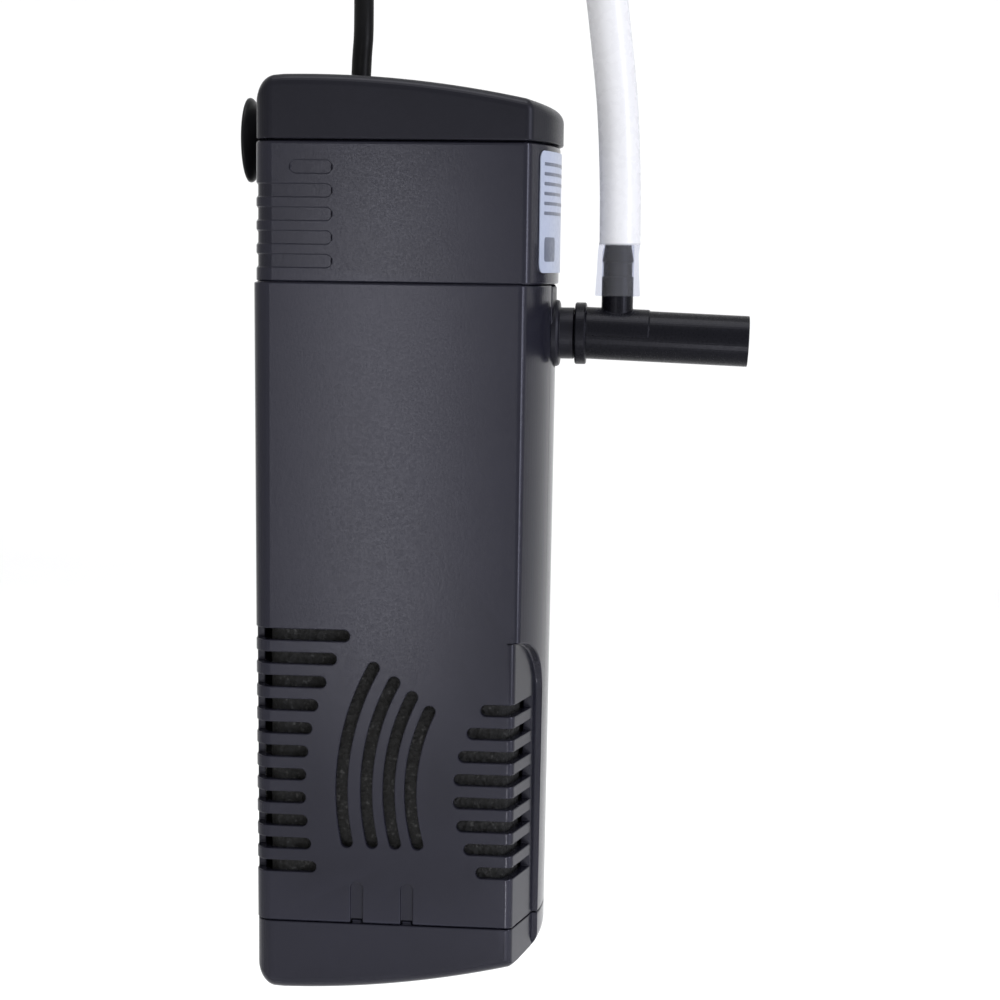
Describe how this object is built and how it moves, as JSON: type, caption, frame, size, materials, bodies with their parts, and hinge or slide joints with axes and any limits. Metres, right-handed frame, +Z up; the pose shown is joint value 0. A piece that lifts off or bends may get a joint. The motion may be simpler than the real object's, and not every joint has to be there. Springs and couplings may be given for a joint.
{
  "type": "internal aquarium power filter",
  "caption": "Upright charcoal plastic box filter with a motor head, slotted canister over a black sponge, side spout with an upright air hose, suction cup and mains lead.",
  "frame": {"origin": "centre of the suction cup's rim, in the plane that lies on the aquarium glass", "axes": "+X points away from the glass to the spout side (front), +Y to the right when the spout side is looked at, +Z up along the canister"},
  "size_m": [0.1457, 0.0857, 0.4041],
  "materials": {
    "charcoal": "fine matt ABS moulding",
    "dark": "satin black moulding",
    "black_rubber": "matt soft rubber",
    "sponge_foam": "open-cell filter foam",
    "cord_sheath": "satin rubber sheath",
    "milky_tube": "milky translucent soft PVC",
    "white_moulding": "satin white moulding",
    "label_film": "satin printed film, left blank",
    "ferrite": "moulded ferrite",
    "ceramic": "polished alumina ceramic",
    "core_steel": "punched laminations",
    "copper": "enamelled copper wire",
    "nickel": "nickel-plated brass"
  },
  "bodies": {
    "head": {"top_cap": "charcoal", "head_shell": "charcoal", "sealing_plate": "dark", "rotor_can": "dark", "ceramic_shaft": "ceramic", "upper_bush": "black_rubber", "lower_bush": "black_rubber", "stator_core": "core_steel", "coil_bobbin": "white_moulding", "coil_winding": "copper", "pump_chamber": "charcoal", "chamber_cover": "dark", "suction_cup": "black_rubber", "rating_label": "label_film", "cord_gland": "black_rubber", "inner_lead": "cord_sheath", "power_cord": "cord_sheath", "cord_coil": "cord_sheath", "power_cord_end": "cord_sheath", "cord_tie": "black_rubber", "plug_body": "cord_sheath", "plug_pin_left": "nickel", "plug_pin_right": "nickel"},
    "rotor": {"rotor_magnet": "ferrite", "impeller": "white_moulding"},
    "canister": {"canister_shell": "charcoal", "sponge": "sponge_foam", "core_tube": "dark"},
    "base": {"bottom_cap": "charcoal"},
    "spout": {"spout_tube": "dark", "spout_seal": "black_rubber", "hose_end": "milky_tube", "air_hose": "milky_tube", "air_valve_body": "dark"},
    "knob": {"air_valve_knob": "dark"}
  },
  "joints": [
    {"name": "rotor_spin", "type": "hinge", "parent": "head", "child": "rotor", "pos_m": [0.0465, 0, -0.05], "axis": [0, 0, 1], "continuous": true},
    {"name": "canister_slide", "type": "slide", "parent": "head", "child": "canister", "axis": [0, 0, -1], "range_m": [0, 0.1]},
    {"name": "base_slide", "type": "slide", "parent": "canister", "child": "base", "axis": [0, 0, -1], "range_m": [0, 0.03]},
    {"name": "spout_turn", "type": "hinge", "parent": "head", "child": "spout", "pos_m": [0.0917, 0, -0.05205], "axis": [1, 0, 0], "range_deg": [-90, 90]},
    {"name": "valve_knob_turn", "type": "hinge", "parent": "spout", "child": "knob", "pos_m": [0.04658, 0, 0.15865], "axis": [0, -1, 0], "range_deg": [0, 270]}
  ]
}
